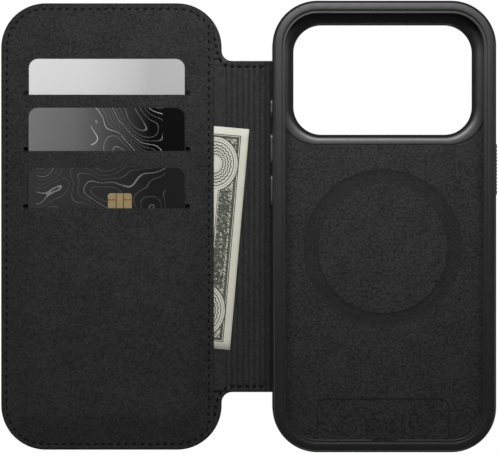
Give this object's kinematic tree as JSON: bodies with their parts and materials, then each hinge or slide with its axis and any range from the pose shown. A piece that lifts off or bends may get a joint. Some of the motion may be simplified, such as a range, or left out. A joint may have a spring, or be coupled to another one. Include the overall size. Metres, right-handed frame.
{
  "type": "phone wallet case",
  "caption": "Leather folio phone case, open flat: slitted card panel with cards, cash pocket with a folded note, ribbed spine, and a rimmed case with a wide camera opening.",
  "frame": {"origin": "centre of the magnet ring on the outer face of the back leather", "axes": "+X from the folio cover to the case, +Y towards the camera end, +Z towards the phone"},
  "size_m": [0.1716, 0.1553, 0.0132],
  "materials": {
    "soft_frame": "satin",
    "shell": "matte",
    "black_leather": "satin",
    "bezel": "satin",
    "microfibre": "matte",
    "magnet": "satin",
    "steel": "satin",
    "button_metal": "satin",
    "thread": "matte",
    "board": "matte",
    "panel_microfibre": "matte",
    "paper": "matte",
    "card_light": "satin",
    "card_grey": "satin",
    "card_dark": "satin",
    "chip": "satin"
  },
  "bodies": {
    "case": {"bumper": "soft_frame", "back_shell": "shell", "back_leather": "black_leather", "camera_bezel": "bezel", "case_lining": "microfibre", "magnet_ring": "magnet", "magnet_carrier": "steel", "alignment_magnet": "magnet", "case_fold_strip": "black_leather"},
    "action_button": {"action_button": "button_metal"},
    "volume_up_button": {"volume_up_button": "button_metal"},
    "volume_down_button": {"volume_down_button": "button_metal"},
    "side_button": {"side_button": "button_metal"},
    "spine": {"spine_leather": "black_leather", "spine_lining": "microfibre", "spine_thread": "thread", "cover_fold_strip": "black_leather"},
    "cover": {"cover_leather": "black_leather", "cover_board": "board", "cash_lining": "microfibre", "pocket_edge_strip": "microfibre", "pocket_backer": "microfibre", "card_panel": "panel_microfibre", "pocket_lining_upper": "microfibre", "pocket_lining_lower": "microfibre", "panel_thread": "thread", "margin_thread": "thread", "banknote": "paper"},
    "card_top": {"card_top": "card_light"},
    "card_middle": {"card_middle": "card_grey"},
    "card_bottom": {"card_bottom": "card_dark", "card_chip": "chip"}
  },
  "joints": [
    {"name": "spine_fold", "type": "hinge", "parent": "case", "child": "spine", "pos_m": [-0.04015, 0.0076, 0.0005], "axis": [0, 1, 0], "range_deg": [-90, 90], "deforming": ["case_fold_strip"]},
    {"name": "cover_fold", "type": "hinge", "parent": "spine", "child": "cover", "pos_m": [-0.05725, 0.0076, 0.0005], "axis": [0, 1, 0], "range_deg": [-90, 90], "deforming": ["cover_fold_strip", "banknote"]},
    {"name": "card_top_slide", "type": "slide", "parent": "cover", "child": "card_top", "axis": [0, 1, 0], "range_m": [0, 0.07]},
    {"name": "card_middle_slide", "type": "slide", "parent": "cover", "child": "card_middle", "axis": [0, 1, 0], "range_m": [0, 0.068]},
    {"name": "card_bottom_slide", "type": "slide", "parent": "cover", "child": "card_bottom", "axis": [0, 1, 0], "range_m": [0, 0.069]},
    {"name": "action_button_press", "type": "slide", "parent": "case", "child": "action_button", "axis": [1, 0, 0], "range_m": [0, 0.0003], "stiffness_N_per_m": 900},
    {"name": "volume_up_press", "type": "slide", "parent": "case", "child": "volume_up_button", "axis": [1, 0, 0], "range_m": [0, 0.0003], "stiffness_N_per_m": 900},
    {"name": "volume_down_press", "type": "slide", "parent": "case", "child": "volume_down_button", "axis": [1, 0, 0], "range_m": [0, 0.0003], "stiffness_N_per_m": 900},
    {"name": "side_button_press", "type": "slide", "parent": "case", "child": "side_button", "axis": [-1, 0, 0], "range_m": [0, 0.0003], "stiffness_N_per_m": 900}
  ]
}
